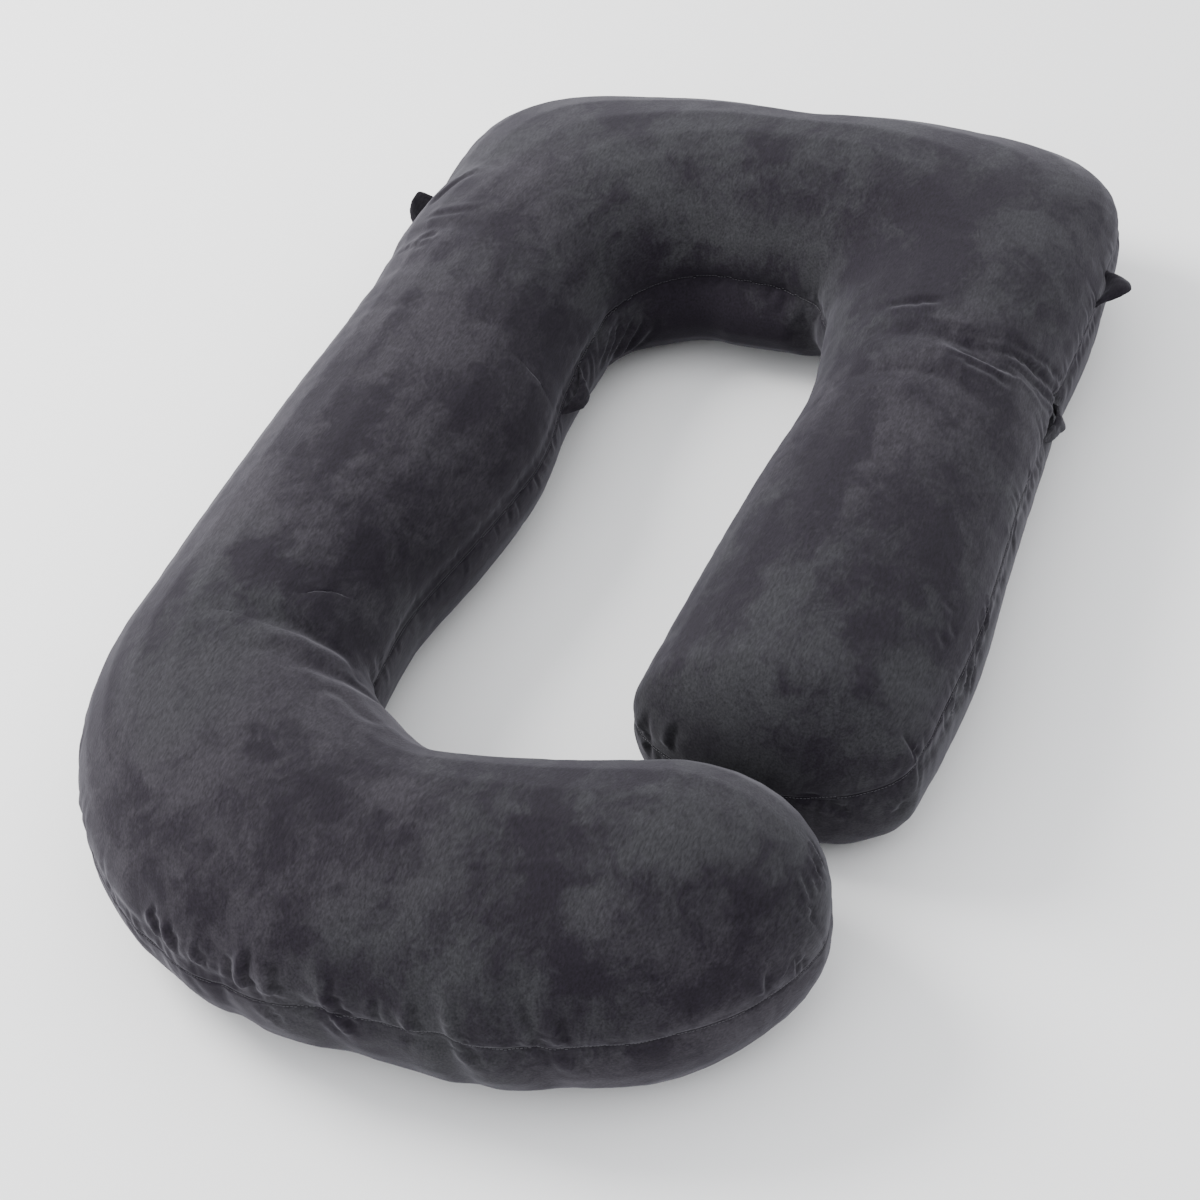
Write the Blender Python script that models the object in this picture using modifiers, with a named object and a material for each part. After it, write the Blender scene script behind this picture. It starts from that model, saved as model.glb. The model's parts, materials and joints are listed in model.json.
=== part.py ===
"""Body pillow: a filled velvet cushion in the shape of a G, with four small loops in its side seam.

The pillow lies on its back with the curved foot towards -Y and the head towards +Y.
Its body is lofted from cross sections that follow a centreline of straight runs and bends.
Units are metres and +Z is up.
"""
import math

import bmesh
import bpy
from mathutils import Vector

# Driving dimensions of the cushion
SEAM_HEIGHT = 0.103         # height of the side seam above the surface
CROWN_RISE = 0.101          # rise from the seam to the top of a full section
TOP_FULLNESS = 2.0          # exponent of the upper half section, 2 is an ellipse
BOTTOM_FULLNESS = 2.75      # exponent of the lower half section, more is boxier
REST_CUT = 0.085            # share of the lower half that is pressed flat by the surface
SEAM_PINCH = 0.004          # how far the stitched seam is drawn in

# Centreline corners: name, x, y, bend radius
CENTRELINE = (
    ("arm end", 0.261, -0.281, 0.0),
    ("right shoulder", 0.266, 0.572, 0.216),
    ("left shoulder", -0.259, 0.552, 0.250),
    ("foot corner", -0.264, -0.564, 0.232),
    ("curl end", 0.211, -0.521, 0.0),
)

# Runs of the centreline in order: name, number of section steps
RUNS = (
    ("arm", 27),
    ("right bend", 28),
    ("head", 3),
    ("left bend", 28),
    ("left arm", 26),
    ("foot bend", 40),
    ("foot", 22),
)

# Cross sections: run, share of the run, outer half width, inner half width,
# bulge of the lower panel past the seam on the inner side, crown factor
SECTIONS = (
    ("arm", 0.00, 0.132, 0.152, 0.000, 1.01),
    ("arm", 0.25, 0.142, 0.146, 0.000, 1.02),
    ("arm", 0.50, 0.133, 0.138, 0.000, 1.01),
    ("arm", 0.75, 0.126, 0.126, 0.002, 1.00),
    ("arm", 1.00, 0.124, 0.150, 0.004, 1.00),
    ("right bend", 0.25, 0.153, 0.158, 0.010, 0.99),
    ("right bend", 0.50, 0.221, 0.156, 0.014, 0.99),
    ("right bend", 0.75, 0.172, 0.162, 0.033, 0.99),
    ("head", 0.50, 0.135, 0.158, 0.039, 1.00),
    ("left bend", 0.25, 0.181, 0.150, 0.033, 1.00),
    ("left bend", 0.50, 0.240, 0.144, 0.031, 1.01),
    ("left bend", 0.75, 0.163, 0.140, 0.014, 1.01),
    ("left arm", 0.00, 0.134, 0.134, 0.010, 1.02),
    ("left arm", 0.20, 0.130, 0.134, 0.006, 1.02),
    ("left arm", 0.40, 0.136, 0.149, 0.004, 1.01),
    ("left arm", 0.60, 0.138, 0.137, 0.004, 1.02),
    ("left arm", 0.80, 0.139, 0.115, 0.002, 1.02),
    ("left arm", 1.00, 0.139, 0.122, 0.000, 1.01),
    ("foot bend", 0.25, 0.147, 0.138, 0.000, 1.02),
    ("foot bend", 0.50, 0.159, 0.149, 0.000, 1.03),
    ("foot bend", 0.75, 0.165, 0.145, 0.000, 1.02),
    ("foot", 0.00, 0.166, 0.131, 0.000, 1.00),
    ("foot", 0.50, 0.181, 0.141, 0.000, 0.99),
    ("foot", 1.00, 0.157, 0.162, 0.000, 1.03),
)
BULGE_DEPTH = 0.45          # share of the lower half over which that bulge builds up

# Rounded ends: length past the last full section, then the exponent of the plan outline
# on the outer side and on the inner side (1 is straight, 2 is round)
ARM_END_CAP = (0.067, 1.65, 1.80)
CURL_END_CAP = (0.155, 1.47, 2.2)
CAP_STEPS = 9
FULL = (1.0, 1.0)           # shares of the two sides on a full section

# Angles round a section in degrees: 0 outer seam, 90 crown, 180 inner seam
TOP_ANGLES = (5, 14, 26, 40, 56, 73, 90, 107, 124, 140, 154, 166, 175)
BOTTOM_ANGLES = (182, 187, 195, 207, 222, 243, 270, 297, 318, 333, 345, 353, 358)
RING_ANGLES = (0,) + TOP_ANGLES + (180,) + BOTTOM_ANGLES
SEAM_ANGLES = (0, 180)

# Main folds: name, run, share of the run, slant along the centreline per 90 degrees,
# lowest and highest angle round the section, half width, depth
FOLDS = (
    ("foot crease 1", "foot bend", 0.94, -0.045, -36, 34, 0.012, 0.0085),
    ("foot crease 2", "foot", 0.38, -0.065, -36, 34, 0.014, 0.0090),
    ("foot crease 3", "foot", 0.72, -0.060, -36, 40, 0.014, 0.0065),
    ("corner crease 1", "foot bend", 0.80, -0.010, -40, 36, 0.011, 0.0065),
    ("corner crease 2", "foot bend", 0.66, -0.035, -32, 34, 0.011, 0.0050),
    ("arm fold 1", "arm", 0.885, -0.055, -18, 90, 0.015, 0.0080),
    ("arm fold 2", "arm", 0.80, 0.004, 4, 118, 0.015, 0.0055),
    ("arm fold 3", "arm", 0.71, 0.000, 60, 125, 0.014, 0.0035),
    ("shoulder fold 1", "left bend", 0.80, -0.060, 16, 80, 0.013, 0.0055),
    ("shoulder fold 2", "left arm", 0.01, 0.000, 12, 92, 0.014, 0.0055),
    ("shoulder fold 3", "left arm", 0.10, 0.000, 12, 80, 0.014, 0.0040),
    ("arch fold", "left bend", 0.97, 0.000, 170, 235, 0.016, 0.0050),
    ("foot bend fold 1", "foot bend", 0.00, 0.030, 80, 160, 0.016, 0.0050),
    ("foot bend fold 2", "foot bend", 0.19, -0.020, 88, 150, 0.016, 0.0045),
    ("foot bend fold 3", "foot bend", 0.46, 0.100, 108, 168, 0.018, 0.0055),
    ("arm end crease", "arm", 0.005, -0.030, -40, 40, 0.014, 0.0065),
)
FOLD_RAMP = 16.0            # degrees over which a fold fades out at each end
LIP_SHARE = 0.30            # height of the cloth pushed up beside a fold, as a share of its depth
LIP_SPREAD = 2.0            # width of that lip, as a share of the fold's half width

# Loop tabs: name, run, share, side, length in the seam, finger gap behind the strip,
# reach, lift of the rim, cupping, lean of the tip along the seam as a share of half its length,
# roundness of the rim before and after the tip (1 is straight, 2 is round)
TABS = (
    ("loop_tab_right_upper", "right bend", 0.214, "outer", 0.082, 0.0115, 0.033, 0.002, 0.010, -0.10, 1.1, 1.8),
    ("loop_tab_right_lower", "arm", 0.838, "outer", 0.078, 0.0115, 0.0190, -0.017, 0.008, 0.35, 1.5, 2.0),
    ("loop_tab_left_upper", "left bend", 0.792, "outer", 0.078, 0.0125, 0.031, 0.019, -0.010, -0.70, 1.5, 2.4),
    ("loop_tab_inner_left", "left arm", 0.200, "inner", 0.084, 0.0180, 0.026, -0.016, 0.008, 0.00, 2.0, 2.0),
)
TAB_THICKNESS = 0.003
TAB_SEAM_CLEARANCE = 0.0020
TAB_STEPS_ALONG = 24
TAB_STEPS_ACROSS = 5

COLLECTION = "Body pillow"
VELVET_COLOUR = (0.050, 0.047, 0.057, 1.0)
TAB_COLOUR = (0.045, 0.042, 0.052, 1.0)


def clear_scene():
    for item in list(bpy.data.objects):
        bpy.data.objects.remove(item, do_unlink=True)


def velvet(name, colour):
    """Matt pile fabric with a soft sheen."""
    material = bpy.data.materials.new(name)
    material.use_nodes = True
    shader = material.node_tree.nodes["Principled BSDF"]
    shader.inputs["Base Color"].default_value = colour
    shader.inputs["Roughness"].default_value = 0.9
    shader.inputs["Metallic"].default_value = 0.0
    shader.inputs["Sheen Weight"].default_value = 0.4
    return material


def straight_run(start, end):
    """A run as its length and a function from share to point and heading."""
    length = (end - start).length
    heading = (end - start) / length
    return length, lambda share: (start.lerp(end, share), heading)


def bend_run(centre, start, turn):
    """A circular bend to the left, by the angle turn."""
    spoke = start - centre

    def place(share):
        angle = turn * share
        cosine, sine = math.cos(angle), math.sin(angle)
        turned = Vector((spoke.x * cosine - spoke.y * sine, spoke.x * sine + spoke.y * cosine))
        heading = Vector((-turned.y, turned.x)).normalized()
        return centre + turned, heading

    return spoke.length * turn, place


def centreline():
    """All runs by name: distance at the start, length and place function."""
    corners = [(Vector((x, y)), radius) for name, x, y, radius in CENTRELINE]
    pieces = []
    leaving = corners[0][0]
    for before, corner, after in zip(corners, corners[1:], corners[2:]):
        arriving = (corner[0] - before[0]).normalized()
        departing = (after[0] - corner[0]).normalized()
        turn = arriving.angle(departing)
        setback = corner[1] * math.tan(turn / 2)
        bend_start = corner[0] - arriving * setback
        bend_centre = bend_start + Vector((-arriving.y, arriving.x)) * corner[1]
        pieces.append(straight_run(leaving, bend_start))
        pieces.append(bend_run(bend_centre, bend_start, turn))
        leaving = corner[0] + departing * setback
    pieces.append(straight_run(leaving, corners[-1][0]))
    runs = {}
    distance = 0.0
    for (name, steps), (length, place) in zip(RUNS, pieces):
        runs[name] = (distance, length, place)
        distance += length
    return runs


def smooth_value(distances, values, distance):
    """Cubic interpolation through a table, with even slopes at its rows."""
    last = len(distances) - 1
    if distance <= distances[0]:
        return values[0]
    if distance >= distances[last]:
        return values[last]
    row = max(i for i in range(last) if distances[i] <= distance)

    def slope(i):
        low, high = max(i - 1, 0), min(i + 1, last)
        return (values[high] - values[low]) / (distances[high] - distances[low])

    span = distances[row + 1] - distances[row]
    share = (distance - distances[row]) / span
    rise = slope(row) * span
    arrive = slope(row + 1) * span
    start, end = values[row], values[row + 1]
    return (start + rise * share
            + (3 * (end - start) - 2 * rise - arrive) * share ** 2
            + (rise + arrive - 2 * (end - start)) * share ** 3)


def section_sizes(runs, distance):
    """Outer half width, inner half width, lower bulge and crown factor at a distance."""
    distances = [runs[run][0] + runs[run][1] * share for run, share, *sizes in SECTIONS]
    columns = zip(*[sizes for run, share, *sizes in SECTIONS])
    return [smooth_value(distances, column, distance) for column in columns]


def superellipse(angle, fullness):
    """Unit point of a superellipse at an angle in degrees."""
    cosine, sine = math.cos(math.radians(angle)), math.sin(math.radians(angle))
    power = 2.0 / fullness
    return (math.copysign(abs(cosine) ** power, cosine),
            math.copysign(abs(sine) ** power, sine))


def section_point(sizes, shrink, angle):
    """Offset to the outer side and height of one point of a cross section.

    shrink holds a share for the outer and one for the inner side: both are 1 on a full
    section and fall to 0 at the tip of a rounded end.
    """
    outer, inner, bulge, crown = sizes
    above = angle <= 180
    across, up = superellipse(angle, TOP_FULLNESS if above else BOTTOM_FULLNESS)
    shrink = shrink[0] * (1.0 + across) / 2.0 + shrink[1] * (1.0 - across) / 2.0
    half_width = outer if across > 0 else inner
    if across < 0 and not above:
        half_width += bulge * math.sin(math.pi / 2 * min(-up / BULGE_DEPTH, 1.0))
    offset = half_width * shrink * across
    if angle in SEAM_ANGLES:
        offset -= math.copysign(SEAM_PINCH * shrink, across)
        return offset, SEAM_HEIGHT
    if above:
        return offset, SEAM_HEIGHT + CROWN_RISE * crown * shrink ** 0.9 * up
    drop = min(1.0, shrink ** 0.6 * -up / (1.0 - REST_CUT))
    return offset, SEAM_HEIGHT * (1.0 - drop)


def fade(value, low, high, ramp):
    """1 between low and high, falling smoothly to 0 over the ramp inside each end."""
    inside = min(value - low, high - value) / ramp
    share = min(max(inside, 0.0), 1.0)
    return share * share * (3.0 - 2.0 * share)


def fold_depth(runs, distance, angle):
    """How far the cloth is pulled in at a place, by all the main folds together."""
    around = angle if angle < 270 else angle - 360
    depth = 0.0
    for name, run, share, slant, low, high, half_width, deepest in FOLDS:
        anchor = 180 if low >= 90 else 0
        middle = runs[run][0] + runs[run][1] * share + slant * (around - anchor) / 90.0
        apart = (distance - middle) / half_width
        valley = math.exp(-apart ** 2) - LIP_SHARE * math.exp(-(apart / LIP_SPREAD) ** 2)
        depth += deepest * valley * fade(around, low, high, FOLD_RAMP)
    return depth


def cloth_point(runs, distance, sizes, shrink, angle):
    """Offset and height of a point of the cloth, with the folds drawn in."""
    offset, height = section_point(sizes, shrink, angle)
    if height <= 0.0:
        return offset, 0.0
    size = math.hypot(offset, height - SEAM_HEIGHT)
    pull = fold_depth(runs, distance, angle) * min(shrink) / max(size, 0.001)
    return offset * (1.0 - pull), max(height - (height - SEAM_HEIGHT) * pull, 0.0)


def ring(runs, distance, middle, heading, sizes, shrink):
    """The points round one cross section."""
    outward = Vector((heading.y, -heading.x))
    points = []
    for angle in RING_ANGLES:
        offset, height = cloth_point(runs, distance, sizes, shrink, angle)
        spot = middle + outward * offset
        points.append(Vector((spot.x, spot.y, height)))
    return points


def cap_rings(runs, distance, middle, heading, sizes, cap, direction):
    """Rings of a rounded end, from its tip to the last full section."""
    length, outer_fullness, inner_fullness = cap
    rings = []
    for step in range(1, CAP_STEPS + 1):
        reach = math.cos(math.pi / 2 * step / (CAP_STEPS + 1))
        shrink = [(1.0 - reach ** full) ** (1.0 / full) for full in (outer_fullness, inner_fullness)]
        beyond = direction * length * reach
        rings.append(ring(runs, distance + beyond, middle + heading * beyond, heading, sizes, shrink))
    return rings


def pillow_rings(runs):
    """All rings from the arm end to the curl end, and the two tips."""
    start_middle, start_heading = runs["arm"][2](0.0)
    end_middle, end_heading = runs["foot"][2](1.0)
    total = runs["foot"][0] + runs["foot"][1]
    start_sizes = section_sizes(runs, 0.0)
    end_sizes = section_sizes(runs, total)
    rings = cap_rings(runs, 0.0, start_middle, start_heading, start_sizes, ARM_END_CAP, -1)
    for name, steps in RUNS:
        begin, length, place = runs[name]
        for step in range(steps):
            distance = begin + length * step / steps
            middle, heading = place(step / steps)
            rings.append(ring(runs, distance, middle, heading, section_sizes(runs, distance), FULL))
    rings.append(ring(runs, total, end_middle, end_heading, end_sizes, FULL))
    rings += reversed(cap_rings(runs, total, end_middle, end_heading, end_sizes, CURL_END_CAP, 1))
    tips = (start_middle - start_heading * ARM_END_CAP[0], end_middle + end_heading * CURL_END_CAP[0])
    return rings, [Vector((tip.x, tip.y, SEAM_HEIGHT)) for tip in tips]


def build_pillow(runs, parts, material):
    """The filled cushion as one closed loft."""
    rings, tips = pillow_rings(runs)
    shape = bmesh.new()
    loops = [[shape.verts.new(point) for point in points] for points in rings]
    count = len(RING_ANGLES)
    for near, far in zip(loops, loops[1:]):
        for i in range(count):
            k = (i + 1) % count
            shape.faces.new((near[i], near[k], far[k], far[i]))
    for tip, loop in zip(tips, (loops[0], loops[-1])):
        pole = shape.verts.new(tip)
        for i in range(count):
            shape.faces.new((pole, loop[i], loop[(i + 1) % count]))
    bmesh.ops.recalc_face_normals(shape, faces=shape.faces)
    mesh = bpy.data.meshes.new("pillow")
    shape.to_mesh(mesh)
    shape.free()
    pillow = bpy.data.objects.new("pillow", mesh)
    mesh.materials.append(material)
    parts.objects.link(pillow)
    return pillow


def seam_point(runs, distance, side):
    """Point of the stitched seam beside a place on the centreline, and its outward direction."""
    name = max((run for run in runs if runs[run][0] <= distance), key=lambda run: runs[run][0])
    begin, length, place = runs[name]
    middle, heading = place((distance - begin) / length)
    sizes = section_sizes(runs, distance)
    offset, height = cloth_point(runs, distance, sizes, FULL, 180 if side == "inner" else 0)
    outward = Vector((heading.y, -heading.x))
    return middle + outward * offset, outward * math.copysign(1.0, offset)


def build_tab(runs, row, parts, material):
    """A strip sewn in at both ends, which bows out of the seam as a cupped loop."""
    name, run, share, side, seam_length, gap, reach, lift, cup, lean, before, after = row
    begin, length, place = runs[run]
    centre = begin + length * share
    step = 0.01
    stretch = (seam_point(runs, centre + step, side)[0] - seam_point(runs, centre - step, side)[0]).length
    half_span = seam_length / 2 * (2 * step / stretch)

    shape = bmesh.new()
    bmesh.ops.create_grid(shape, x_segments=TAB_STEPS_ALONG, y_segments=TAB_STEPS_ACROSS, size=1.0)
    for vertex in shape.verts:
        along, across = vertex.co.x, (vertex.co.y + 1.0) / 2.0
        from_tip = (along - lean) / (1.0 - lean if along > lean else 1.0 + lean)
        arch = 1.0 - abs(from_tip) ** (before if along < lean else after)
        base, outward = seam_point(runs, centre + along * half_span, side)
        inner_edge = gap * math.cos(along * math.pi / 2) ** 0.7
        outer_edge = max(reach * arch, inner_edge + 0.004)
        out = TAB_SEAM_CLEARANCE + inner_edge + (outer_edge - inner_edge) * across
        rise = arch * (lift * across + cup * math.sin(math.pi * across))
        spot = base + outward * out
        vertex.co = Vector((spot.x, spot.y, SEAM_HEIGHT + rise))
    mesh = bpy.data.meshes.new(name)
    shape.to_mesh(mesh)
    shape.free()
    mesh.materials.append(material)
    tab = bpy.data.objects.new(name, mesh)
    parts.objects.link(tab)
    wall = tab.modifiers.new("Doubled cloth", "SOLIDIFY")
    wall.thickness = TAB_THICKNESS
    wall.offset = 0.0
    wall.use_even_offset = True
    return tab


def main():
    clear_scene()
    parts = bpy.data.collections.new(COLLECTION)
    bpy.context.scene.collection.children.link(parts)
    runs = centreline()
    build_pillow(runs, parts, velvet("charcoal velvet", VELVET_COLOUR))
    tab_velvet = velvet("charcoal velvet strip", TAB_COLOUR)
    for row in TABS:
        build_tab(runs, row, parts, tab_velvet)


main()
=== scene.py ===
import json
import math

import bpy
import numpy as np
from mathutils import Matrix, Vector
from mathutils.bvhtree import BVHTree

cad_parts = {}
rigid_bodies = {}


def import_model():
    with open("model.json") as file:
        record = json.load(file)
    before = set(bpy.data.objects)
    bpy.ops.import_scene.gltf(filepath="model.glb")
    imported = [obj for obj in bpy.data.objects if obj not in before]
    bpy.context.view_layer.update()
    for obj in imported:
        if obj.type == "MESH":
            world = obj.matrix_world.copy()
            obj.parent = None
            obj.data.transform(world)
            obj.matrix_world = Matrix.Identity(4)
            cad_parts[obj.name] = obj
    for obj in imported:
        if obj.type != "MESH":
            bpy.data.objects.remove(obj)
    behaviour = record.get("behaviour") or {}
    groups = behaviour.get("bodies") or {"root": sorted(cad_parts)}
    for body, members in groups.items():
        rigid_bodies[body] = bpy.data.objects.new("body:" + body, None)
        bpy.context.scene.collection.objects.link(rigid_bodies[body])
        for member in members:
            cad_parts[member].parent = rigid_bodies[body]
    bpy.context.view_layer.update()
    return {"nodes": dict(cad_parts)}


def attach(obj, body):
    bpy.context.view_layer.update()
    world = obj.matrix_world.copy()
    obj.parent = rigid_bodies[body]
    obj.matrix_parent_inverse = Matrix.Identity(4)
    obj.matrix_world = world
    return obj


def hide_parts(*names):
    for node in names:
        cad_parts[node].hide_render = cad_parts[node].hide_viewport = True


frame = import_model()
nodes = frame["nodes"]
print("frame loaded:", ", ".join(sorted(nodes)))

# the line down the middle of the filled tube: x, y and bend radius of each corner
centreline = {
    "armEnd": (0.261, -0.281, 0.0),
    "rightShoulder": (0.266, 0.572, 0.216),
    "leftShoulder": (-0.259, 0.552, 0.250),
    "footCorner": (-0.264, -0.564, 0.232),
    "curlEnd": (0.211, -0.521, 0.0),
}
tube = {
    "seamHeight": 0.103,        # of the side seam above what the pillow lies on
    "halfWidth": 0.145,         # with the rise, this makes an angle round the tube
    "rise": 0.104,
    "sectionRadius": 0.125,     # turns that angle into metres of cloth
    "spacing": 0.004,           # between the points that stand for the line
    "armTip": 0.10,             # how far the line is carried on past each end
    "curlTip": 0.18,
    "gapX": 0.10,               # right of this the arm's end faces the foot,
    "gapY": -0.354,             # across this line,
    "armUpTo": 0.7,             # and the line's first and last parts are told apart
    "footFrom": 1.9,
}
seamLine = {
    # how far the seam lies above its mean height: distance along the line, rise
    "out": ((-0.1, -0.014), (-0.05, -0.01), (-0.03, -0.004), (0.0, 0.008), (0.03, 0.016),
            (0.1, 0.021), (0.2, 0.022), (0.28, 0.016), (0.37, 0.017), (0.44, 0.008), (0.5, 0.0),
            (0.6, 0.0), (0.655, 0.012), (0.72, 0.008), (0.8, 0.0), (2.1, 0.0), (2.2, -0.008),
            (2.29, -0.02), (2.33, -0.015), (2.37, -0.008), (2.43, 0.0), (2.5, 0.007), (2.55, 0.005),
            (2.6, -0.001), (2.7, 0.0), (2.75, -0.007), (2.82, -0.008)),
    "in": ((-0.1, -0.014), (-0.05, -0.01), (0.0, -0.004), (0.6, -0.006), (0.74, -0.007),
           (0.86, -0.002), (0.96, 0.0), (1.05, 0.005), (1.15, 0.003), (1.3, 0.0), (1.43, -0.002),
           (1.5, -0.004), (1.62, -0.012), (1.7, -0.011), (1.8, -0.009), (1.9, -0.011),
           (1.95, -0.007), (2.1, 0.0), (2.6, 0.0), (2.75, -0.006), (2.82, -0.008)),
    "reach": 0.05,              # how far above and below the cloth goes along with it
}


# helpers for Blender's own tools

def deselectAll():
    for item in bpy.context.view_layer.objects:
        item.select_set(False)


def pick(piece):
    deselectAll()
    piece.select_set(True)
    bpy.context.view_layer.objects.active = piece


def inEditMode(piece, *steps):
    # each step is one edit mode operator, on the whole mesh
    pick(piece)
    bpy.ops.object.mode_set(mode="EDIT")
    for step in steps:
        bpy.ops.mesh.select_all(action="SELECT")
        step()
    bpy.ops.object.mode_set(mode="OBJECT")


def applyModifier(piece, kind, **settings):
    pick(piece)
    modifier = piece.modifiers.new(kind.title(), kind)
    for key, value in settings.items():
        setattr(modifier, key, value)
    bpy.ops.object.modifier_apply(modifier=modifier.name)


def places(piece):
    flat = np.empty(len(piece.data.vertices) * 3, np.float32)
    piece.data.vertices.foreach_get("co", flat)
    return flat.reshape(-1, 3).astype(np.float64)


def setPlaces(piece, points):
    piece.data.vertices.foreach_set("co", np.asarray(points, np.float32).ravel())
    piece.data.update()


def normalsOf(piece):
    flat = np.empty(len(piece.data.vertices) * 3, np.float32)
    piece.data.vertex_normals.foreach_get("vector", flat)
    return flat.reshape(-1, 3).astype(np.float64)


def edgesOf(piece):
    flat = np.empty(len(piece.data.edges) * 2, np.int32)
    piece.data.edges.foreach_get("vertices", flat)
    return flat.reshape(-1, 2)


def makeQuads(piece, degrees):
    limit = math.radians(degrees)
    inEditMode(piece, lambda: bpy.ops.mesh.tris_convert_to_quads(face_threshold=limit,
                                                                 shape_threshold=limit))


def divide(piece, levels):
    applyModifier(piece, "SUBSURF", levels=levels, render_levels=levels)


def shadeSmooth(piece):
    pick(piece)
    bpy.ops.object.shade_smooth()


def storeOn(piece, name, values):
    # numbers or vectors, one for each point, for the materials to read
    wide = np.asarray(values, np.float32)
    kind, field = ("FLOAT", "value") if wide.ndim == 1 else ("FLOAT_VECTOR", "vector")
    attribute = piece.data.attributes.new(name, kind, "POINT")
    attribute.data.foreach_set(field, wide.ravel())


def averaged(values, edges, rounds):
    # every point goes half way to the mean of its neighbours, again and again
    size = len(values)
    count = np.bincount(edges.ravel(), minlength=size).astype(float)[:, None]
    count[count == 0] = 1.0
    values = values.copy()
    for _ in range(rounds):
        total = np.empty_like(values)
        for axis in range(values.shape[1]):
            total[:, axis] = np.bincount(edges[:, 0], values[edges[:, 1], axis], size)
            total[:, axis] += np.bincount(edges[:, 1], values[edges[:, 0], axis], size)
        values += (total / count - values) * 0.5
    return values


def unit(rows):
    return rows / np.linalg.norm(rows, axis=1)[:, None]


def passed(row):
    # how far along the row each of its points lies
    return np.concatenate([[0.0], np.cumsum(np.linalg.norm(np.diff(row, axis=0), axis=1))])


def resampled(row, stops):
    # the points at these distances along the row
    distance = passed(row)
    return np.stack([np.interp(stops, distance, values) for values in row.T], axis=1)


def treeOf(piece):
    return BVHTree.FromPolygons([Vector(spot) for spot in places(piece)],
                                [tuple(face.vertices) for face in piece.data.polygons])


def softNormals(piece, rounds):
    return unit(averaged(normalsOf(piece), edgesOf(piece), rounds))


def smooth(value, low, high):
    share = np.clip((value - low) / (high - low), 0.0, 1.0)
    return share * share * (3.0 - 2.0 * share)


def bell(value):
    return np.exp(-value * value)


# numbers without a pattern, which scramble a grid corner into a random value
scramble = {"weights": (127.1, 311.7, 74.7), "seedStep": 53.37, "gain": 43758.5453}


def softNoise(points, size, seed):
    # smooth random values from -1 to 1 over space, with lumps of about the given size
    points = np.atleast_2d(points) / size
    corner = np.floor(points)
    share = points - corner
    share = share * share * (3.0 - 2.0 * share)
    total = np.zeros(len(points))
    wide = points.shape[1]
    for number in range(2 ** wide):
        step = np.array([(number >> axis) & 1 for axis in range(wide)])
        mixed = (corner + step) @ np.array(scramble["weights"])[:wide] + seed * scramble["seedStep"]
        value = np.modf(np.sin(mixed) * scramble["gain"])[0]
        total += value * np.prod(np.where(step, share, 1.0 - share), axis=1)
    return total


# where a point lies on the tube

def walkLine():
    corners = [(np.array(corner[:2]), corner[2]) for corner in centreline.values()]
    points, headings, bends = [], [], []

    def straight(start, end, before=0.0, after=0.0):
        length = np.linalg.norm(end - start)
        for distance in np.arange(-before, length + after, tube["spacing"]):
            points.append(start + (end - start) / length * distance)
            headings.append((end - start) / length)
            bends.append(0.0)

    leaving = corners[0][0]
    for number, (before, corner, after) in enumerate(zip(corners, corners[1:], corners[2:])):
        middle, radius = corner
        arriving = (middle - before[0]) / np.linalg.norm(middle - before[0])
        departing = (after[0] - middle) / np.linalg.norm(after[0] - middle)
        turn = math.acos(np.dot(arriving, departing))
        setback = radius * math.tan(turn / 2)
        start = middle - arriving * setback
        straight(leaving, start, before=tube["armTip"] if number == 0 else 0.0)
        hub = start + np.array((-arriving[1], arriving[0])) * radius
        for angle in np.arange(0.0, turn, tube["spacing"] / radius):
            cosine, sine = math.cos(angle), math.sin(angle)
            spoke = np.array([[cosine, -sine], [sine, cosine]]) @ (start - hub)
            points.append(hub + spoke)
            headings.append(np.array((-spoke[1], spoke[0])) / radius)
            bends.append(1.0 / radius)
        leaving = middle + departing * setback
    straight(leaving, corners[-1][0], after=tube["curlTip"])
    points = np.array(points)
    return points, np.array(headings), passed(points) - tube["armTip"], np.array(bends)


linePoints, lineHeadings, lineDistance, lineBends = walkLine()


def onTube(points):
    # for each point: distance along the line, and offset from it towards the outer side
    nearest = np.empty(len(points), int)
    batch, never = 20000, 9.0   # points at a time, and a distance that no point reaches
    for begin in range(0, len(points), batch):
        part = points[begin:begin + batch, :2]
        apart = ((part ** 2).sum(1)[:, None] + (linePoints ** 2).sum(1)[None]
                 - 2.0 * part @ linePoints.T)
        right, upper = part[:, 0] > tube["gapX"], part[:, 1] > tube["gapY"]
        apart[np.ix_(right & upper, lineDistance > tube["footFrom"])] = never
        apart[np.ix_(right & ~upper, lineDistance < tube["armUpTo"])] = never
        nearest[begin:begin + batch] = apart.argmin(1)
    away = points[:, :2] - linePoints[nearest]
    heading = lineHeadings[nearest]
    offset = away[:, 0] * heading[:, 1] - away[:, 1] * heading[:, 0]
    longer = np.clip(1.0 + offset * lineBends[nearest], 0.25, 3.0)
    return lineDistance[nearest] + (away * heading).sum(1) / longer, offset


def seamRise(along, offset):
    rise = {side: np.interp(along, *np.transpose(seamLine[side])) for side in ("out", "in")}
    return np.where(offset > 0.0, rise["out"], rise["in"])


def levelled(points):
    # the same points, with the seam brought to its mean height
    flat = points.copy()
    above = (flat[:, 2] - tube["seamHeight"]) / seamLine["reach"]
    flat[:, 2] -= seamRise(*onTube(points)) * bell(above)
    return flat


def unlevelled(points, rise):
    height = points[:, 2].copy()
    for _ in range(12):         # each round comes nearer to the right height
        height = points[:, 2] + rise * bell((height - tube["seamHeight"]) / seamLine["reach"])
    return np.stack([points[:, 0], points[:, 1], height], axis=1)


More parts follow.
